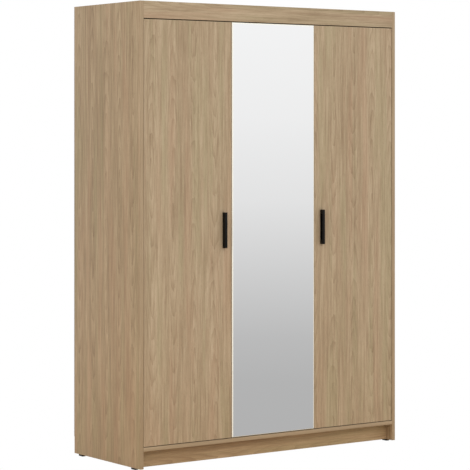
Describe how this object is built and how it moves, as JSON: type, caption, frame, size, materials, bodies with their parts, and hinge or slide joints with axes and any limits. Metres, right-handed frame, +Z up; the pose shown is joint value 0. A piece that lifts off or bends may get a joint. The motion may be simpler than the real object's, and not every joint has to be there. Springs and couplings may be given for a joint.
{
  "type": "wardrobe",
  "caption": "Tall wardrobe with inset hinged doors, the middle one mirrored, on a recessed plinth, with a hanging compartment and a shelved one inside.",
  "frame": {"origin": "centre of the footprint on the floor, under the glides", "axes": "+Z up, +Y towards the back, the doors face -Y, +X to the right seen from the front"},
  "size_m": [1.34, 0.5376, 1.904],
  "materials": {
    "oak_board": "satin light oak foil on chipboard with matching edge banding",
    "hardboard": "thin hardboard, foiled inside and raw behind",
    "mirror_glass": "flat silvered float glass with ground edges",
    "black_plastic": "satin black moulded plastic",
    "hinge_steel": "nickel-plated pressed steel",
    "rail_steel": "bright plated oval tube",
    "zinc": "zinc-plated fittings",
    "clear_rubber": "soft translucent door stops"
  },
  "bodies": {
    "carcass": {"back_panel_left": "hardboard", "back_panel_right": "hardboard", "bottom_panel": "oak_board", "centre_front_glide": "black_plastic", "centre_rear_glide": "black_plastic", "centre_support_board": "oak_board", "door_bumper_bottom": "clear_rubber", "door_bumper_middle": "clear_rubber", "door_bumper_top": "clear_rubber", "front_left_glide": "black_plastic", "front_right_glide": "black_plastic", "hanging_rail": "rail_steel", "hat_shelf": "oak_board", "left_door_hinge_arm_bottom": "hinge_steel", "left_door_hinge_arm_middle": "hinge_steel", "left_door_hinge_arm_top": "hinge_steel", "left_side_panel": "oak_board", "mirror_door_hinge_arm_bottom": "hinge_steel", "mirror_door_hinge_arm_middle": "hinge_steel", "mirror_door_hinge_arm_top": "hinge_steel", "narrow_shelf_1": "oak_board", "narrow_shelf_2": "oak_board", "narrow_shelf_3": "oak_board", "narrow_shelf_4": "oak_board", "partition_panel": "oak_board", "plinth_board": "oak_board", "rail_socket_left": "zinc", "rail_socket_right": "zinc", "rear_left_glide": "black_plastic", "rear_plinth_board": "oak_board", "rear_right_glide": "black_plastic", "right_door_hinge_arm_bottom": "hinge_steel", "right_door_hinge_arm_middle": "hinge_steel", "right_door_hinge_arm_top": "hinge_steel", "right_side_panel": "oak_board", "top_fascia": "oak_board", "top_panel": "oak_board"},
    "left_door": {"left_door_handle": "black_plastic", "left_door_hinge_cup_bottom": "hinge_steel", "left_door_hinge_cup_middle": "hinge_steel", "left_door_hinge_cup_top": "hinge_steel", "left_door_panel": "oak_board", "left_handle_screw_lower": "zinc", "left_handle_screw_upper": "zinc"},
    "mirror_door": {"mirror_door_hinge_cup_bottom": "hinge_steel", "mirror_door_hinge_cup_middle": "hinge_steel", "mirror_door_hinge_cup_top": "hinge_steel", "mirror_door_panel": "oak_board", "mirror_glass": "mirror_glass"},
    "right_door": {"right_door_handle": "black_plastic", "right_door_hinge_cup_bottom": "hinge_steel", "right_door_hinge_cup_middle": "hinge_steel", "right_door_hinge_cup_top": "hinge_steel", "right_door_panel": "oak_board", "right_handle_screw_lower": "zinc", "right_handle_screw_upper": "zinc"}
  },
  "joints": [
    {"name": "left_door_hinge", "type": "hinge", "parent": "carcass", "child": "left_door", "pos_m": [-0.639, -0.24245, 0.9635], "axis": [0, 0, -1], "range_deg": [0, 95]},
    {"name": "mirror_door_hinge", "type": "hinge", "parent": "carcass", "child": "mirror_door", "pos_m": [0.204, -0.24245, 0.9635], "axis": [0, 0, 1], "range_deg": [0, 95]},
    {"name": "right_door_hinge", "type": "hinge", "parent": "carcass", "child": "right_door", "pos_m": [0.639, -0.24245, 0.9635], "axis": [0, 0, 1], "range_deg": [0, 95]}
  ]
}
